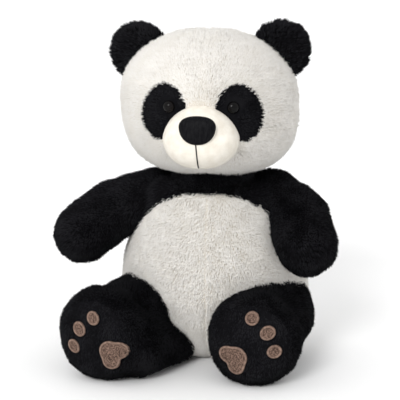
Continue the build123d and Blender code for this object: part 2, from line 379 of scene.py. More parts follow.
def grow(name, body, slot, materials, field, box, spacing, keep, flow, pile, **style):
    """A pile over the part of a field's surface that keep(points) allows.

    flow(points, normals) is the direction it is combed in, and pile is its length,
    as a number or as a function of the points.
    """
    lean = style.get("lean", 0.65)
    width = style.get("width", 1.25)
    wander = style.get("wander", 0.28)
    seed = style.get("seed", 1)
    draw = np.random.default_rng(seed)
    roots, _ = skin_mesh(field, box[0], box[1], spacing)
    roots = roots + draw.uniform(-0.5, 0.5, roots.shape) * spacing
    roots, normals = settle(field, roots)
    chosen = keep(roots, normals)
    roots, normals = roots[chosen], normals[chosen]
    count = len(roots)
    comb = unit(tangent(flow(roots, normals), normals)) * lean
    stray = tangent(ripple_vector(roots, style.get("swirl", 17.0), seed + 40), normals) * wander
    jitter = tangent(draw.normal(size=(count, 3)), normals) * style.get("jitter", 0.16)
    length = (pile(roots) if callable(pile) else pile) * draw.uniform(0.72, 1.12, count)
    length *= 1 + 0.07 * ripple(roots, 9.0, seed + 50)
    tuft_width = width * draw.uniform(0.75, 1.15, count)
    total = comb + stray + jitter
    along = unit(normals + total)
    clump = style.get("clump", 4.5)
    cell = np.floor(roots / clump).astype(np.int64)
    key = (cell * np.array([73856093, 19349663, 83492791])).sum(1)
    _, group = np.unique(key, return_inverse=True)
    sums = np.zeros((group.max() + 1, 3))
    np.add.at(sums, group, roots + along * length[:, None])
    centres = sums / np.bincount(group)[:, None]
    pull = (centres[group] - (roots + along * length[:, None])) * style.get("gather", 0.22)
    droop = tangent(flow(roots, normals), normals)
    bend = pull + unit(droop) * (length * 0.10)[:, None]
    tones = len(materials) - 1
    mix = ripple(roots, 26.0, seed + 60) * 0.8 + draw.normal(size=count) * 0.7
    tone = np.digitize(mix, np.linspace(-0.7, 0.7, tones + 1)[1:-1])
    pieces = math.ceil(count / TUFTS_PER_PIECE)
    order = np.argsort(roots[:, 0] + 1e-3 * roots[:, 2], kind="stable")
    made = []
    for i, part in enumerate(np.array_split(order, pieces)):
        label = name if pieces == 1 else f"{name}_{i + 1}"
        mesh = pile_mesh(
            label, roots[part], normals[part], total[part], length[part], tuft_width[part], bend[part], draw
        )
        made.append(new_object(label, mesh, body, slot, *materials))
        paint_tufts(mesh, tone[part])
    print(f"{name}: {count} tufts")
    return made


def make_filling(node, body, field, box):
    """The fibre filling inside a skin, shaped by the same field."""
    fibre = bpy.data.materials.get("wadding") or fibre_material()
    points, quads = skin_mesh(shifted(field, -2.0), box[0], box[1], 4.0)
    filling = new_object(node + "_fibre", mesh_from(node, points, quads[:, ::-1]), body, FIBRE_SLOT, fibre)
    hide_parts(node)


def fibre_material():
    return add_pattern(principled("wadding", (0.9, 0.9, 0.89), 0.95), (0.80, 0.80, 0.79),
                       (0.95, 0.95, 0.94), 140, bump=0.8, bump_scale=300, stretch=(1, 1, 2.5))


def make_skin(name, body, slot, material, field, box, voxel=SKIN_VOXEL):
    """The backing cloth of a stuffed part."""
    points, quads = skin_mesh(field, box[0], box[1], voxel)
    points, _ = settle(field, points)
    points[:, 2] = np.maximum(points[:, 2], FLOOR_CLEARANCE)
    skin = new_object(name, mesh_from(name, points, quads[:, ::-1]), body, slot, material)
    return skin


# ---------------------------------------------------------------- sizes and places
HEAD_NODES = ("face_panel_left", "face_panel_right", "head_back_left", "head_back_right")
HEAD_HALF = np.array([84.0, 72.0, 69.0])
HEAD_TURN = math.radians(2.0)
MUZZLE_HALF = np.array([34.5, 38.0, 29.0])
NOSE_HALF = np.array([16.0, 6.5, 12.5])
PATCH_AT = (32.5, -2.5)
PATCH_HALF = (19.3, 24.3)
PATCH_LEAN = math.radians(12.0)
EAR_R = 29.5
EAR_HALF_THICK = 9.0
EAR_THINNER = 3.0  # from the CAD's half thickness in to the backing cloth
EAR_SMALLER = 6.5  # from the CAD's radius in to the backing cloth
EAR_EDGE = 5.5
ARM_R = 30.0
PAW_R = 29.5
ARM_THINNER = 0.6
SHOULDER_THINNER = 1.0
FOOT_R = 42.5
FOOT_HALF_THICK = 19.0
FOOT_EDGE = 13.0
FOOT_BLEND = 15.0
FOLD_BLEND = 12.0
LEG_ROOM = 12.0  # round the CAD leg's box, for the parts of the visual leg outside it
SOLE_RADIUS = 35.0
SOLE_DOME = 3.5
TOES_OUT = math.radians(53.0)
YOKE_REACH = 62.0
YOKE_DROP = 30.0  # by which the yoke's seam has fallen at YOKE_REACH to either side
YOKE_LOW = 2.0  # by which the black pile covers the seam
ARMPIT_X = 72.0

# offsets from the CAD's own place, chosen against the photograph
MUZZLE_SAG = 3.5
EAR_SAG = {"left": 0.5, "right": 3.2}  # in and down
EAR_FORWARD = 4.0
CHEEK_SHIFT = 3.0  # of the low part of the head, to the toy's left
SHOULDER_IN = 11.0  # of an arm's root, under the head
MOUTH_SHIFT = 1.2  # to the toy's right

# The legs' own layout. It isn't read from the frame: the left foot is 7 mm off the CAD's, the right one 4 mm.
THIGH = np.array([60.0, -30.0, 43.0])
LEG_R = 40.0
ANKLE_R = 38.0
ANKLE_BACK = 22.0
CROTCH = np.array([27.0, -62.0, 18.0])
CROTCH_R = 16.0
CALF_R = 29.0
CALF_AT = {"left": np.array([42.0, -92.0, 29.0]), "right": np.array([-58.0, -104.0, 29.0])}
FOOT_AT = {"left": np.array([50.0, -110.0, 42.5]), "right": np.array([-90.0, -115.0, 42.5])}

head_low, head_high = node_box(*HEAD_NODES)
HEAD_CENTRE = np.array(
    [
        (head_low[0] + head_high[0]) / 2,
        head_high[1] - HEAD_HALF[1],
        head_high[2] - HEAD_HALF[2],
    ]
)
muzzle_low, muzzle_high = node_box("muzzle_cover")
MUZZLE_CENTRE = np.array(
    [
        (muzzle_low[0] + muzzle_high[0]) / 2,
        muzzle_low[1] + MUZZLE_HALF[1],
        muzzle_low[2] + MUZZLE_HALF[2] - MUZZLE_SAG,
    ]
)
nose_low, nose_high = node_box("nose_patch")
NECK = pivot("head_nod")

face_right = np.array([math.cos(HEAD_TURN), math.sin(HEAD_TURN), 0.0])
face_back = np.array([-math.sin(HEAD_TURN), math.cos(HEAD_TURN), 0.0])
UP = np.array([0.0, 0.0, 1.0])


def on_face(p):
    """Points in the head's own left, back and up."""
    q = p - HEAD_CENTRE
    return np.stack([q @ face_right, q @ face_back, q[..., 2]], -1)


# ---------------------------------------------------------------- head
def muzzle_field(p):
    """Wide below and narrow at the bridge between the eyes."""
    q = p - MUZZLE_CENTRE
    rise = np.clip(q[..., 2] / MUZZLE_HALF[2], 0, 1)
    q = q.copy()
    q[..., 0] = q[..., 0] / (1 - 0.20 * rise)
    return ball_field((0, 0, 0), MUZZLE_HALF - 1.2, 2.2)(q)


def head_field(p):
    """Elliptical from front to back, and squarer in the outline seen from in front, most at the cheeks."""
    half = HEAD_HALF - SKIN_INSET
    q = p - HEAD_CENTRE
    low = np.clip(0.5 - q[..., 2] / (1.2 * half[2]), 0, 1)
    power = 2.2 + 0.55 * low
    x = np.maximum(np.abs(q[..., 0] - CHEEK_SHIFT * low) / half[0], 1e-6)
    y = np.abs(q[..., 1]) / half[1]
    z = np.maximum(np.abs(q[..., 2]) / half[2], 1e-6)
    outline = (x**power + z**power) ** (1 / power)
    r = np.maximum(np.hypot(outline, y), 1e-6)
    slope_x = (x / outline) ** (power - 1) * outline / r / half[0]
    slope_z = (z / outline) ** (power - 1) * outline / r / half[2]
    slope = np.sqrt(slope_x**2 + (y / r / half[1]) ** 2 + slope_z**2)
    return np.maximum((r - 1) / np.maximum(slope, 1e-6), -half[2])


head_box = (HEAD_CENTRE - HEAD_HALF, HEAD_CENTRE + HEAD_HALF)


def patch_measure(p, side):
    """Below 1 inside the outline of an eye patch, seen from in front."""
    q = on_face(p)
    x = q[..., 0] - side * PATCH_AT[0]
    z = q[..., 2] - PATCH_AT[1]
    along = z * math.cos(PATCH_LEAN) - side * x * math.sin(PATCH_LEAN)
    across = x * math.cos(PATCH_LEAN) + side * z * math.sin(PATCH_LEAN)
    inside = np.hypot(across / PATCH_HALF[0], along / PATCH_HALF[1])
    return np.where(q[..., 1] < 0, inside, 9.0)


def in_any_patch(p):
    return np.minimum(patch_measure(p, 1), patch_measure(p, -1))


eye_centres = {name: sum(node_box("eye_" + name)) / 2 for name in SIDES}


def eye_distance(p):
    """Distance from the line of the nearer eye, seen from in front."""
    q = on_face(p)
    nearest = np.full(p.shape[:-1], 1e9)
    for centre in eye_centres.values():
        e = on_face(centre)
        gap = np.hypot(q[..., 0] - e[0], q[..., 2] - e[2])
        nearest = np.minimum(nearest, np.where(q[..., 1] < 0, gap, 1e9))
    return nearest


def from_nose(p, normals):
    """Pile combed away from the middle of the face."""
    return p - (MUZZLE_CENTRE + np.array([0, -20.0, 10.0]))


def downward(p, normals):
    return np.broadcast_to(-UP, p.shape)


def build_head():
    # The white backing is painted darker than the pile, as shade beneath the tufts.
    skin_cloth = add_pattern(principled("white_backing_painted_shade", (0.7, 0.65, 0.57), 0.9), (0.62, 0.56, 0.48),
                             (0.74, 0.69, 0.61), 90, bump=0.4, bump_scale=700)
    skin = make_skin("head_skin", "head", WHITE_SLOT, skin_cloth, head_field, head_box)
    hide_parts(*HEAD_NODES)
    make_filling("head_stuffing", "head", head_field, head_box)

    def keep(p, normals):
        clear = (muzzle_field(p) > -0.5) & (in_any_patch(p) > 1.0) & (eye_distance(p) > 5.0)
        return clear & ~((p[:, 2] < HEAD_CENTRE[2] - 50) & (np.linalg.norm(p - NECK, axis=1) < 40))

    def length(p):
        short_by_muzzle = np.clip((muzzle_field(p) + 1.0) / 9.0, 0.35, 1.0)
        seam = 1 - 0.35 * np.exp(-((on_face(p)[:, 0] / 1.6) ** 2)) * (on_face(p)[:, 2] > 25)
        return WHITE_PILE * short_by_muzzle * seam * knit(p, 0.07)

    grow("head_pile", "head", WHITE_SLOT, WHITE_PILE_SET, head_field, head_box, WHITE_SPACING, keep,
         from_nose, length, seed=11, **WHITE_STYLE)


def knit(p, depth):
    """Faint rows of the knitted backing showing in the pile."""
    return 1 + depth * np.sin(2 * np.pi * (p[:, 2] + 0.6 * ripple(p, 40.0, 3)) / 4.6)


def surface_part(name, body, slot, material, field, box, keep, voxel, lift=0.3):
    """The part of a surface that keep allows, as a cloth 1 mm thick lying just proud of it."""
    points, quads = skin_mesh(field, box[0], box[1], voxel)
    points, normals = settle(field, points)
    inside = keep(points)
    quads = quads[inside[quads].all(axis=1)][:, ::-1]
    used, renumbered = np.unique(quads, return_inverse=True)
    mesh = mesh_from(name, points[used] + normals[used] * lift, renumbered.reshape(quads.shape))
    piece = new_object(name, mesh, body, slot, material)
    cloth = piece.modifiers.new("cloth", "SOLIDIFY")
    cloth.thickness = 1.0 * MM
    cloth.offset = -1
    return piece


def build_patches():
    cloth = add_pattern(principled("black_backing", (0.004, 0.004, 0.005), 0.9, Specular_IOR_Level=0.06),
                        (0.002, 0.002, 0.003), (0.006, 0.006, 0.007), 90, bump=0.4, bump_scale=700)
    for name, side in SIDES.items():
        label = "eye_patch_cloth_" + name
        piece = surface_part(label, "head", BLACK_SLOT, cloth, head_field, head_box,
                             lambda p: (patch_measure(p, side) < 1.02) & (muzzle_field(p) > -1.5), 1.6)
        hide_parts("eye_patch_" + name)

        def keep(p, normals):
            return (patch_measure(p, side) < 1.03) & (muzzle_field(p) > -0.5) & (eye_distance(p) > 5.2)

        def length(p):
            round_eye = np.clip((eye_distance(p) - 5.0) / 8.0, 0.2, 1.0)
            by_muzzle = np.clip((muzzle_field(p) + 1.0) / 6.0, 0.4, 1.0)
            return PATCH_PILE * round_eye * by_muzzle

        grow("eye_patch_pile_" + name, "head", BLACK_SLOT, BLACK_PILE_SET, head_field, head_box,
             SHORN_SPACING, keep, from_nose, length, seed=21, lean=0.8, width=0.95, clump=3.0)
    return cloth


def build_muzzle():
    cloth = add_pattern(principled("muzzle_backing", (0.8, 0.75, 0.67), 0.9), (0.74, 0.69, 0.60),
                        (0.84, 0.80, 0.72), 120, bump=0.4, bump_scale=900)
    box = (MUZZLE_CENTRE - MUZZLE_HALF, MUZZLE_CENTRE + MUZZLE_HALF)

    def outside_head(p):
        return head_field(p) > -4.0

    skin = surface_part("muzzle_skin", "head", MUZZLE_SLOT, cloth, muzzle_field, box, outside_head, 1.5,
                        lift=0.0)
    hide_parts("muzzle_cover")
    make_filling("muzzle_stuffing", "head", muzzle_field, box)

    def keep(p, normals):
        return (head_field(p) > -1.0) & (nose_field(p) > 0.2)

    grow("muzzle_pile", "head", MUZZLE_SLOT, SHORN_SET, muzzle_field, box, SHORN_SPACING, keep, from_nose,
         SHORN_PILE, seed=31, lean=0.5, width=0.8, clump=2.5, gather=0.1, jitter=0.25)


nose_centre = np.array([(nose_low[0] + nose_high[0]) / 2, nose_low[1] + NOSE_HALF[1] - 1.0,
                        (nose_low[2] + nose_high[2]) / 2])


def nose_field(p):
    """A rounded triangle, narrow below, leaning back with the muzzle."""
    q = (p - nose_centre).copy()
    drop = np.clip(-q[..., 2] / NOSE_HALF[2], -1, 1)
    q[..., 0] = q[..., 0] / (1 - 0.16 * drop)
    q[..., 1] = q[..., 1] - 0.10 * q[..., 2]
    return ball_field((0, 0, 0), NOSE_HALF, 2.3)(q)


def build_nose():
    satin = principled("nose_satin", (0.004, 0.004, 0.005), 0.55, Specular_IOR_Level=0.06)
    add_pattern(satin, (0.002, 0.002, 0.003), (0.007, 0.007, 0.008), 700, bump=0.25, bump_scale=1600,
                stretch=(1, 1, 0.25))
    box = (nose_centre - NOSE_HALF * 1.3, nose_centre + NOSE_HALF * 1.3)
    nose = make_skin("nose", "head", NOSE_SLOT, satin, nose_field, box, voxel=0.9)
    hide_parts("nose_patch")


def build_mouth():
    """Thread down the muzzle from the nose, lying on its pile."""
    thread = add_pattern(principled("mouth_thread", (0.01, 0.01, 0.01), 0.7), (0.006, 0.006, 0.006),
                         (0.02, 0.018, 0.018), 900, bump=0.5, bump_scale=2500)
    stitch_low, _ = node_box("mouth_stitch")
    tops = nose_centre[2] - NOSE_HALF[2] * 0.8
    heights = np.linspace(tops, stitch_low[2] - 1.5, 28)
    line = np.zeros((len(heights), 3))
    line[:, 0] = nose_centre[0] - MOUTH_SHIFT + 0.8 * np.sin(np.linspace(0, 2.6, len(heights)))
    line[:, 1] = MUZZLE_CENTRE[1] - MUZZLE_HALF[1]
    line[:, 2] = heights
    for _ in range(30):
        line[:, 1] += muzzle_field(line) * 0.6
    line, normals = settle(muzzle_field, line, rounds=1)
    line = line + normals * 1.1
    mesh = tube(line, 0.62, 8, "mouth_thread")
    piece = new_object("mouth_thread", mesh, "head", THREAD_SLOT, thread)
    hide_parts("mouth_stitch")


def rings_round(across, other, sides):
    """A circle of directions for each pair of vectors."""
    turn = np.linspace(0, 2 * np.pi, sides, endpoint=False)
    return np.cos(turn)[None, :, None] * across[:, None] + np.sin(turn)[None, :, None] * other[:, None]


def ring_faces(start, rings, sides):
    """Quads between neighbouring rings of points."""
    faces = []
    for i in range(rings - 1):
        low, up = start + i * sides, start + (i + 1) * sides
        for j in range(sides):
            k = (j + 1) % sides
            faces.append((low + j, low + k, up + k, up + j))
    return faces


def ring_caps(start, rings, sides):
    """The two flat ends of a tube of rings."""
    last = start + (rings - 1) * sides
    return [tuple(start + j for j in range(sides))[::-1], tuple(last + j for j in range(sides))]


def tube(line, radius, sides, name):
    """A closed round tube along a line of points."""
    ahead = unit(np.gradient(line, axis=0))
    side = unit(np.cross(ahead, [0.3, 0.2, 1.0]))
    ring = rings_round(side, np.cross(ahead, side), sides)
    points = (line[:, None] + radius * ring).reshape(-1, 3)
    return mesh_from(name, points, ring_faces(0, len(line), sides) + ring_caps(0, len(line), sides))


def build_eyes():
    gloss = principled("eye_gloss", (0.002, 0.002, 0.002), 0.08, Specular_IOR_Level=0.12)
    add_pattern(gloss, (0.002, 0.002, 0.002), (0.004, 0.003, 0.003), 60)
    for name in SIDES:
        frame["nodes"]["eye_" + name].data.materials.clear()
        frame["nodes"]["eye_" + name].data.materials.append(gloss)


def build_ears(cloth):
    for name, side in SIDES.items():
        low, high = node_box("ear_front_" + name, "ear_back_" + name)
        outer = high[0] - EAR_R if side > 0 else low[0] + EAR_R
        sag = EAR_SAG[name]
        middle = (low[1] + high[1]) / 2 - EAR_FORWARD
        centre = np.array([outer - side * sag, middle, high[2] - EAR_R - sag])
        field = disc_field(centre, face_back, EAR_R - EAR_SMALLER, EAR_HALF_THICK - EAR_THINNER, EAR_EDGE)
        box = (centre - EAR_R - 2, centre + EAR_R + 2)
        skin = make_skin("ear_skin_" + name, "ear_" + name, BLACK_SLOT, cloth, field, box)
        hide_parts("ear_front_" + name, "ear_back_" + name)

        def keep(p, normals):
            return head_field(p) > -2.5

        def outward(p, normals):
            return p - HEAD_CENTRE + face_back * 6.0

        grow("ear_pile_" + name, "ear_" + name, BLACK_SLOT, BLACK_PILE_SET, field, box, EAR_SPACING, keep,
             outward, EAR_PILE, seed=41 + int(side), lean=0.75, width=1.2, wander=0.4, swirl=11.0, gather=0.35)


# ---------------------------------------------------------------- torso and neck
TORSO_HEIGHT = 174.0
TORSO_HALF_WIDTH = 93.0
TORSO_HALF_DEPTH = 79.0
# (height, half width, half depth) as shares of the values above, and the centre's place in Y
TORSO_PROFILE = np.array([
    (0.00, 0.69, 0.61, 0.0),
    (0.08, 0.88, 0.82, 0.0),
    (0.21, 0.98, 0.95, 0.0),
    (0.36, 1.00, 1.00, -2.0),
    (0.53, 0.96, 0.96, -4.0),
    (0.70, 0.86, 0.86, -7.0),
    (0.85, 0.76, 0.74, -11.0),
    (0.94, 0.69, 0.65, -15.0),
    (1.00, 0.62, 0.56, -18.0),
])
FINE_HEIGHT = np.linspace(0, 1, 121)


def eased(values):
    """A profile column along the height with its corners rounded off."""
    fine = np.interp(FINE_HEIGHT, TORSO_PROFILE[:, 0], values)
    weights = np.hanning(15)
    return np.convolve(np.pad(fine, 7, mode="edge"), weights / weights.sum(), mode="valid")


TORSO_WIDTH = eased(TORSO_PROFILE[:, 1]) * TORSO_HALF_WIDTH - SKIN_INSET
TORSO_DEPTH = eased(TORSO_PROFILE[:, 2]) * TORSO_HALF_DEPTH - SKIN_INSET
TORSO_CENTRE_Y = eased(TORSO_PROFILE[:, 3])


def torso_field(p):
    share = p[..., 2] / TORSO_HEIGHT
    half_x = np.interp(share, FINE_HEIGHT, TORSO_WIDTH)
    half_y = np.interp(share, FINE_HEIGHT, TORSO_DEPTH)
    centre_y = np.interp(share, FINE_HEIGHT, TORSO_CENTRE_Y)
    x, y = np.abs(p[..., 0]) / half_x, np.abs(p[..., 1] - centre_y) / half_y
    r = np.maximum((x**2.1 + y**2.1) ** (1 / 2.1), 1e-6)
    side = (r - 1) * (half_x * x + half_y * y) / (x + y + 1e-6) * 0.95
    ends = np.maximum(SKIN_INSET * 0.5 - p[..., 2], p[..., 2] - TORSO_HEIGHT + SKIN_INSET)
    edge = 9.0
    round_x, round_z = np.maximum(side + edge, 0), np.maximum(ends + edge, 0)
    body = np.hypot(round_x, round_z) + np.minimum(np.maximum(side, ends) + edge, 0) - edge
    return body - 0.7 * ripple(p, 60.0, 5)


torso_box = (np.array([-TORSO_HALF_WIDTH, -TORSO_HALF_DEPTH - 6, 0.0]),
             np.array([TORSO_HALF_WIDTH, TORSO_HALF_DEPTH + 2, TORSO_HEIGHT]))
belly_low, belly_high = node_box("belly_panel_left", "belly_panel_right")


def yoke_measure(p):
    """Above 0 where the torso is black: over a seam that falls to the armpits, then runs level."""
    share = np.minimum(np.abs(p[..., 0]), ARMPIT_X) / YOKE_REACH
    steepness = 3 * YOKE_DROP * share**2 / YOKE_REACH
    return (p[..., 2] - belly_high[2] + YOKE_LOW + YOKE_DROP * share**3) / np.hypot(1, steepness)


def limb_hides(p, margin):
    """Where an arm or leg is pressed onto the torso and the pile never shows."""
    hidden = np.zeros(len(p), bool)
    for fields in (arm_fields, leg_fields):
        for field in fields.values():
            hidden |= field(p) < -margin
    return hidden


def build_torso(black_cloth):
    # The backing's darker colour is painted shade beneath the pile.
    white_cloth = bpy.data.materials["white_backing_painted_shade"]
    skin = make_skin("torso_skin", "torso", WHITE_SLOT, white_cloth, torso_field, torso_box)
    skin.data.materials.append(black_cloth)
    middles = np.empty(len(skin.data.polygons) * 3)
    skin.data.polygons.foreach_get("center", middles)
    black = yoke_measure(middles.reshape(-1, 3) / MM) > 0
    skin.data.polygons.foreach_set("material_index", black.astype(np.int32))
    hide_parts("belly_panel_left", "belly_panel_right", "back_panel_left", "back_panel_right",
                "chest_yoke", "back_yoke", "seat_panel")
    make_filling("body_stuffing", "torso", torso_field, torso_box)

    def hidden(p):
        under_head = head_field(p) < -3.0
        sat_on = (p[:, 2] < 3.0) & (np.hypot(p[:, 0] / 70, p[:, 1] / 55) < 0.9)
        return under_head | sat_on | limb_hides(p, 9.0)

    def white_length(p):
        seam = 1 - 0.45 * np.exp(-((p[:, 0] / 1.4) ** 2))
        return WHITE_PILE * seam * knit(p, 0.08)

    def white_flow(p, normals):
        """Down, and away from the middle seam close to it."""
        flow = np.zeros_like(p)
        flow[:, 2] = -1.0
        flow[:, 0] = np.sign(p[:, 0]) * 0.4 * np.exp(-((p[:, 0] / 3.0) ** 2))
        return flow

    grow("belly_pile", "torso", WHITE_SLOT, WHITE_PILE_SET, torso_field, torso_box, WHITE_SPACING,
         lambda p, n: (yoke_measure(p) < 0.3) & ~hidden(p), white_flow, white_length, seed=51, **WHITE_STYLE)
    grow("yoke_pile", "torso", BLACK_SLOT, BLACK_PILE_SET, torso_field, torso_box, PILE_SPACING,
         lambda p, n: (yoke_measure(p) > -0.3) & ~hidden(p), downward, BLACK_PILE, seed=52)


def build_neck(black_cloth):
    _, neck_high = node_box("neck_cover")
    radius = neck_high[2] - NECK[2]
    field = ball_field(NECK, np.full(3, radius - SKIN_INSET))
    low = NECK - radius
    low[2] = TORSO_HEIGHT - 12
    skin = make_skin("neck_skin", "neck", BLACK_SLOT, black_cloth, field, (low, NECK + radius))
    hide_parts("neck_cover")
    make_filling("neck_stuffing", "neck", field, (low, NECK + radius))

    def keep(p, normals):
        return (head_field(p) > -6.0) & (torso_field(p) > -3.0)

    grow("neck_pile", "neck", BLACK_SLOT, BLACK_PILE_SET, field, (low, NECK + radius), PILE_SPACING, keep,
         downward, 4.0, seed=55)


# ---------------------------------------------------------------- limbs
def arm_shape(name, side):
    shoulder = pivot("arm_lift_" + name)
    low, high = node_box("arm_front_" + name, "arm_back_" + name)
    across = high[0] - PAW_R if side > 0 else low[0] + PAW_R
    paw = np.array([across, low[1] + PAW_R, low[2] + PAW_R])
    elbow = (shoulder + paw) / 2 + np.array([side * 3.0, 2.0, 3.5])
    line = [shoulder - np.array([side * SHOULDER_IN, 0, 0]), elbow, paw]
    radii = [ARM_R - SKIN_INSET - SHOULDER_THINNER, ARM_R - SKIN_INSET - ARM_THINNER,
             PAW_R - SKIN_INSET - ARM_THINNER]
    plain = rod_field(line, radii)
    field = shifted(plain, lambda p: 0.9 * ripple(p, 38.0, 71 + int(side)))
    return line, field, (low - 4, high + 4)


def leg_shape(name, side):
    """A thigh, a tube to the foot, a fold of the inner thigh that ends at the crotch, and a domed foot."""
    thigh = THIGH * (side, 1, 1)
    foot = FOOT_AT[name]
    ahead = unit((foot - thigh) * (1, 1, 0))
    ankle = foot - ahead * ANKLE_BACK
    tube_part = rod_field([thigh, ankle], [LEG_R - SKIN_INSET, ANKLE_R - SKIN_INSET])
    crotch = CROTCH * (side, 1, 1)
    fold = rod_field([crotch, CALF_AT[name]], [CROTCH_R - SKIN_INSET, CALF_R - SKIN_INSET])
    disc = disc_field(foot, ahead, FOOT_R - SKIN_INSET, FOOT_HALF_THICK - SKIN_INSET, FOOT_EDGE)

    def dome(p):
        q = p - foot
        height = q @ ahead
        r = np.linalg.norm(q - height[..., None] * ahead, axis=-1)
        return SOLE_DOME * np.clip(1 - (r / FOOT_R) ** 2, 0, 1) * np.clip(height / 10.0, 0, 1)

    whole = joined(joined(tube_part, fold, FOLD_BLEND), shifted(disc, dome), FOOT_BLEND)
    field = shifted(whole, lambda p: 0.8 * ripple(p, 45.0, 81 + int(side)))
    leg_low, leg_high = node_box("leg_outer_" + name, "leg_inner_" + name)
    across = np.cross(UP, ahead)
    toes = UP * math.cos(TOES_OUT) + across * math.sin(TOES_OUT) * side
    place = {"name": name, "side": side, "sole": foot + ahead * FOOT_HALF_THICK, "ahead": ahead,
             "toes": toes, "sideways": np.cross(ahead, toes)}
    return place, field, (leg_low - LEG_ROOM, leg_high + LEG_ROOM)


arm_shapes = {name: arm_shape(name, side) for name, side in SIDES.items()}
leg_shapes = {name: leg_shape(name, side) for name, side in SIDES.items()}
arm_fields = {name: shape[1] for name, shape in arm_shapes.items()}
leg_fields = {name: shape[1] for name, shape in leg_shapes.items()}


def build_arms(cloth):
    for name, side in SIDES.items():
        line, field, box = arm_shapes[name]
        body = "arm_" + name
        skin = make_skin("arm_skin_" + name, body, BLACK_SLOT, cloth, field, box)
        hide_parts("arm_front_" + name, "arm_back_" + name)
        make_filling("arm_stuffing_" + name, body, field, box)
        ahead = unit(line[-1] - line[0])

        def keep(p, normals):
            return torso_field(p) > -9.0

        def flow(p, normals):
            return np.broadcast_to(ahead + np.array([0, 0, -0.35]), p.shape)

        grow("arm_pile_" + name, body, BLACK_SLOT, BLACK_PILE_SET, field, box, PILE_SPACING, keep, flow,
             BLACK_PILE, seed=61 + int(side), wander=0.35)


def on_sole(p, place):
    """(distance from the sole's middle, height ahead of its plane)."""
    q = p - place["sole"]
    height = q @ place["ahead"]
    return np.linalg.norm(q - height[..., None] * place["ahead"], axis=-1), height


def build_legs(cloth):
    for name, side in SIDES.items():
        place, field, box = leg_shapes[name]
        body = "leg_" + name
        skin = make_skin("leg_skin_" + name, body, BLACK_SLOT, cloth, field, box)
        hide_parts("leg_outer_" + name, "leg_inner_" + name)
        make_filling("leg_stuffing_" + name, body, field, box)

        def sole_part(p):
            r, h = on_sole(p, place)
            return (r < SOLE_RADIUS) & (h > -9.0)

        sole = surface_part("sole_cloth_" + name, body, BLACK_SLOT, cloth, field, box, sole_part, 1.6)
        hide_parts("sole_" + name)

        def flow(p, normals):
            return np.broadcast_to(place["ahead"] * 0.8 - UP * 0.5, p.shape)

        def keep(p, normals):
            return ~sole_part(p) & (torso_field(p) > -9.0)

        def length(p):
            r, h = on_sole(p, place)
            edge = np.clip(np.maximum(r - SOLE_RADIUS, -9 - h) / 10.0, 0, 1)
            return SOLE_PILE + (BLACK_PILE - SOLE_PILE) * edge

        grow("leg_pile_" + name, body, BLACK_SLOT, BLACK_PILE_SET, field, box, PILE_SPACING, keep, flow,
             length, seed=65 + int(side), wander=0.35)

        def sole_keep(p, normals):
            return sole_part(p) & (pad_gap(p, place) > 1.2)

        grow("sole_pile_" + name, body, BLACK_SLOT, BLACK_PILE_SET, field, box, PILE_SPACING, sole_keep,
             downward, SOLE_PILE, seed=75 + int(side), lean=1.0, wander=0.35)
        build_pads(place, field)


# ---------------------------------------------------------------- paw pads
# Places in the sole's plane, as (along the toes, across them). The toe places are the mean of what a separate
# program worked out from the pads' places in the photograph; the shifts and the heels began there too.
TOE_AT = [(12.7, 18.6), (17.0, 0.2), (11.6, -17.0)]
TOE_HALF = [(5.7, 5.2), (6.2, 5.4), (5.9, 5.0)]
HEEL_AT = {"left": (-18.5, -2.5), "right": (-23.5, 5.5)}
HEEL_DISCS = [(2.5, 0.0, 8.6), (-4.0, 7.2, 6.4), (-4.0, -7.2, 6.4)]
HEEL_BLEND = 2.0
PAD_SHIFT = {"left": 4.0, "right": -3.0}  # of the toe pads, along the toes
PAD_CORNERS = 72
PAD_RINGS = np.array([0.0, 0.15, 0.3, 0.45, 0.6, 0.75, 0.88, 0.96, 1.0])
PAD_EDGE = 1.5
PAD_CROWN = 0.9
PAD_UNDER = -0.6
PAD_LIFT = 0.6
WELD_GAP = 0.02  # welds each pad's middle ring, whose corners share one place


def toe_outline(half):
    """Signed distance from an oval toe pad, about its centre."""

    def gap(a, b):
        return (np.hypot(a / half[0], b / half[1]) - 1) * min(half)

    return gap


def heel_outline(a, b):
    """Run-together discs: a crown towards the toes and two lobes behind, a notch between them."""
    total = 0
    for disc_a, disc_b, radius in HEEL_DISCS:
        gap = np.hypot(a - disc_a, b - disc_b) - radius
        total = total + np.exp(-gap / HEEL_BLEND)
    return -HEEL_BLEND * np.log(total)


def pad_list(name):
    """(centre along the toes, centre across, signed distance from the outline) of each pad."""
    shift = PAD_SHIFT[name]
    toes = [(a + shift, b, toe_outline(half)) for (a, b), half in zip(TOE_AT, TOE_HALF)]
    return toes + [(*HEEL_AT[name], heel_outline)]


def pad_gap(p, place):
    """Distance outside the nearest pad's outline, measured in the sole's plane."""
    q = p - place["sole"]
    a, b = q @ place["toes"], q @ place["sideways"] * place["side"]
    pads = pad_list(place["name"])
    return np.min([outline(a - ca, b - cb) for ca, cb, outline in pads], axis=0)


def outline_radius(outline, turn):
    """Distance from the pad's centre to its outline in each direction."""
    near, far = np.zeros_like(turn), np.full_like(turn, 40.0)
    for _ in range(30):
        middle = (near + far) / 2
        inside = outline(middle * np.cos(turn), middle * np.sin(turn)) < 0
        near, far = np.where(inside, middle, near), np.where(inside, far, middle)
    return near


def onto_sole(a, b, height, place, field):
    """Points given in the sole's plane, stood at a height off the foot's real surface."""
    p = place["sole"] + a[:, None] * place["toes"] + (b * place["side"])[:, None] * place["sideways"]
    for _ in range(12):
        p = p - place["ahead"] * (field(p) * 0.9)[:, None]
    return p + place["ahead"] * np.asarray(height)[:, None]


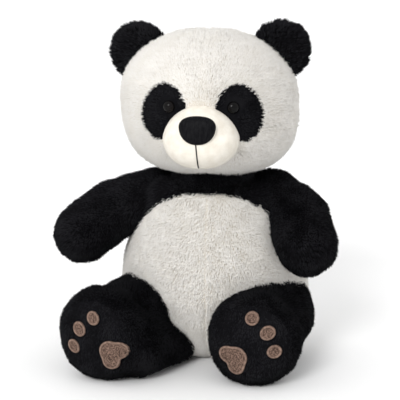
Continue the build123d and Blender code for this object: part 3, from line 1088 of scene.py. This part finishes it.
def build_pads(place, field):
    name, side = place["name"], place["side"]
    body = "leg_" + name
    cloth = bpy.data.materials.get("pad_weave") or pad_cloth_material()
    rim = bpy.data.materials.get("pad_rim") or pad_rim_material()
    points, faces, stitch_points, stitch_faces = [], [], [], []
    turn = np.linspace(0, 2 * np.pi, PAD_CORNERS, endpoint=False)
    for ca, cb, outline in pad_list(name):
        reach = outline_radius(outline, turn)
        start = len(points)
        for share in PAD_RINGS:
            a, b = ca + share * reach * np.cos(turn), cb + share * reach * np.sin(turn)
            height = PAD_LIFT + PAD_EDGE + PAD_CROWN * np.sqrt(np.maximum(1 - share**3, 0))
            points += list(onto_sole(a, b, np.full(PAD_CORNERS, height), place, field))
        points += list(onto_sole(a, b, np.full(PAD_CORNERS, PAD_UNDER), place, field))
        faces += ring_faces(start, len(PAD_RINGS) + 1, PAD_CORNERS)
        stitch_ring(ca, cb, outline, place, field, stitch_points, stitch_faces)
    if side < 0:
        faces = [face[::-1] for face in faces]
    split = len(TOE_AT) * (len(PAD_RINGS) + 1) * PAD_CORNERS
    toe_faces = [face for face in faces if max(face) < split]
    heel_faces = [tuple(corner - split for corner in face) for face in faces if min(face) >= split]
    toe_mesh = mesh_from("toe_pads_cloth_" + name, points[:split], toe_faces)
    heel_mesh = mesh_from("heel_pad_cloth_" + name, points[split:], heel_faces)
    toes = new_object("toe_pads_cloth_" + name, toe_mesh, body, PAD_SLOT, cloth)
    heel = new_object("heel_pad_cloth_" + name, heel_mesh, body, PAD_SLOT, cloth)
    for piece in (toes, heel):
        weld = piece.modifiers.new("weld", "WELD")
        weld.merge_threshold = WELD_GAP * MM
    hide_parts("toe_pads_" + name)
    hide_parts("heel_pad_" + name)
    rim_mesh = mesh_from("pad_rims_" + name, stitch_points, stitch_faces)
    new_object("pad_rims_" + name, rim_mesh, body, PAD_SLOT, rim)


STITCH_PITCH = 0.62
STITCH_R = 0.36
STITCH_SIDES = 5
STITCH_TAPER = np.array([0.6, 1, 1, 1, 1, 0.6])
RIM_HALF = 0.9
# a stitch's way over a pad's edge: (share of the rim's half width outward, height)
STITCH_ARCH = [(-1.0, 1.9), (-0.75, 2.5), (-0.25, 2.85), (0.3, 2.8), (0.8, 2.3), (1.0, 1.2)]


def stitch_ring(ca, cb, outline, place, field, points, faces):
    """Satin stitches side by side across a pad's edge."""
    fine = np.linspace(0, 2 * np.pi, 721)
    reach = outline_radius(outline, fine)
    a, b = reach * np.cos(fine), reach * np.sin(fine)
    travelled = np.concatenate([[0], np.cumsum(np.hypot(np.diff(a), np.diff(b)))])
    count = int(travelled[-1] / STITCH_PITCH)
    turn = np.interp(np.arange(count) * travelled[-1] / count, travelled, fine)
    reach = outline_radius(outline, turn)
    here = np.stack([reach * np.cos(turn), reach * np.sin(turn)], -1)
    nearby = outline_radius(outline, turn + 0.02)
    ahead = unit(np.stack([nearby * np.cos(turn + 0.02), nearby * np.sin(turn + 0.02)], -1) - here)
    outward = np.stack([ahead[:, 1], -ahead[:, 0]], -1)
    steps = []
    for offset, height in STITCH_ARCH:
        spot = here + outward * offset * RIM_HALF
        lift = np.full(count, height + PAD_LIFT)
        steps.append(onto_sole(ca + spot[:, 0], cb + spot[:, 1], lift, place, field))
    for line in np.array(steps).transpose(1, 0, 2):
        forward = unit(np.gradient(line, axis=0))
        lateral = unit(np.cross(forward, place["ahead"]))
        normal = np.cross(lateral, forward)
        taper = STITCH_TAPER[:, None, None] * STITCH_R
        start = len(points)
        points += list((line[:, None] + taper * rings_round(lateral, normal, STITCH_SIDES)).reshape(-1, 3))
        faces += ring_faces(start, len(line), STITCH_SIDES) + ring_caps(start, len(line), STITCH_SIDES)


def pad_cloth_material():
    material = principled("pad_weave", (0.09, 0.055, 0.042), 0.9, Specular_IOR_Level=0.2)
    return add_pattern(material, (0.045, 0.026, 0.019), (0.20, 0.13, 0.10), 900, bump=0.6, bump_scale=1100,
                       edge=0.07)


def pad_rim_material():
    material = principled("pad_rim", (0.30, 0.20, 0.15), 0.6, Specular_IOR_Level=0.3)
    return add_pattern(material, (0.15, 0.095, 0.07), (0.29, 0.195, 0.15), 400, bump=0.3,
                       bump_scale=1500)


# ---------------------------------------------------------------- what stays from the CAD, inside
def finish_inner_nodes():
    """Materials for the washers and the pellet bag, which stay where the CAD has them, out of sight."""
    washer = add_pattern(principled("washer_plastic", (0.85, 0.85, 0.83), 0.5), (0.82, 0.82, 0.80),
                         (0.88, 0.88, 0.86), 80, bump=0.1, bump_scale=900)
    bag = add_pattern(principled("pellet_cloth", (0.82, 0.82, 0.8), 0.85), (0.74, 0.74, 0.72),
                      (0.86, 0.86, 0.84), 500, bump=0.4, bump_scale=1200)
    for node, obj in frame["nodes"].items():
        material = washer if "washer" in node else bag if "bag" in node else None
        if material:
            obj.data.materials.clear()
            obj.data.materials.append(material)


# ---------------------------------------------------------------- camera, floor and light
VIEW_AZIMUTH = math.radians(8.0)
VIEW_ELEVATION = math.radians(12.0)
VIEW_DISTANCE = 1300.0
VIEW_ASIDE = -15.0
VIEW_UP = 143.0
LENS = 117.0


def build_camera():
    toward = np.array([math.sin(VIEW_AZIMUTH) * math.cos(VIEW_ELEVATION),
                       -math.cos(VIEW_AZIMUTH) * math.cos(VIEW_ELEVATION), math.sin(VIEW_ELEVATION)])
    right = np.array([math.cos(VIEW_AZIMUTH), math.sin(VIEW_AZIMUTH), 0.0])
    up = np.cross(toward, right)
    target = VIEW_ASIDE * right + VIEW_UP * up
    camera_data = bpy.data.cameras.new("camera")
    camera_data.lens = LENS
    camera_data.clip_end = 20
    camera = bpy.data.objects.new("camera", camera_data)
    bpy.context.scene.collection.objects.link(camera)
    turn = Matrix((right, up, toward)).transposed().to_4x4()
    camera.matrix_world = Matrix.Translation(Vector((target + toward * VIEW_DISTANCE) * MM)) @ turn
    bpy.context.scene.camera = camera


WORLD_STRENGTH = 0.98
KEY_TOWARD = (-0.25, -1.0, 0.62)
KEY_SPREAD = 20.0
KEY_STRENGTH = 1.7
FLOOR_SIZE = 14  # in metres


def sun_light(name, toward, spread, strength):
    """A soft light from one direction that reaches the whole floor evenly."""
    data = bpy.data.lights.new(name, "SUN")
    data.angle = math.radians(spread)
    data.energy = strength
    light = bpy.data.objects.new(name, data)
    light.rotation_euler = Vector(toward).to_track_quat("Z", "Y").to_euler()
    bpy.context.scene.collection.objects.link(light)


def build_stage():
    bpy.ops.mesh.primitive_plane_add(size=FLOOR_SIZE, location=(0, 0, 0))
    floor = bpy.context.object
    floor.name = "floor"
    floor.data.materials.append(principled("floor_paint", (0.92, 0.92, 0.92), 0.9))
    world = bpy.data.worlds.new("studio")
    world.use_nodes = True
    world.node_tree.nodes["Background"].inputs["Color"].default_value = (1, 1, 1, 1)
    world.node_tree.nodes["Background"].inputs["Strength"].default_value = WORLD_STRENGTH
    bpy.context.scene.world = world
    sun_light("key", KEY_TOWARD, KEY_SPREAD, KEY_STRENGTH)
    bpy.context.scene.view_settings.view_transform = "Standard"


# ---------------------------------------------------------------- making it all
build_camera()
build_stage()
build_head()
black_cloth = build_patches()
build_muzzle()
build_nose()
build_mouth()
build_eyes()
build_ears(black_cloth)
build_neck(black_cloth)
build_torso(black_cloth)
build_arms(black_cloth)
build_legs(black_cloth)
finish_inner_nodes()
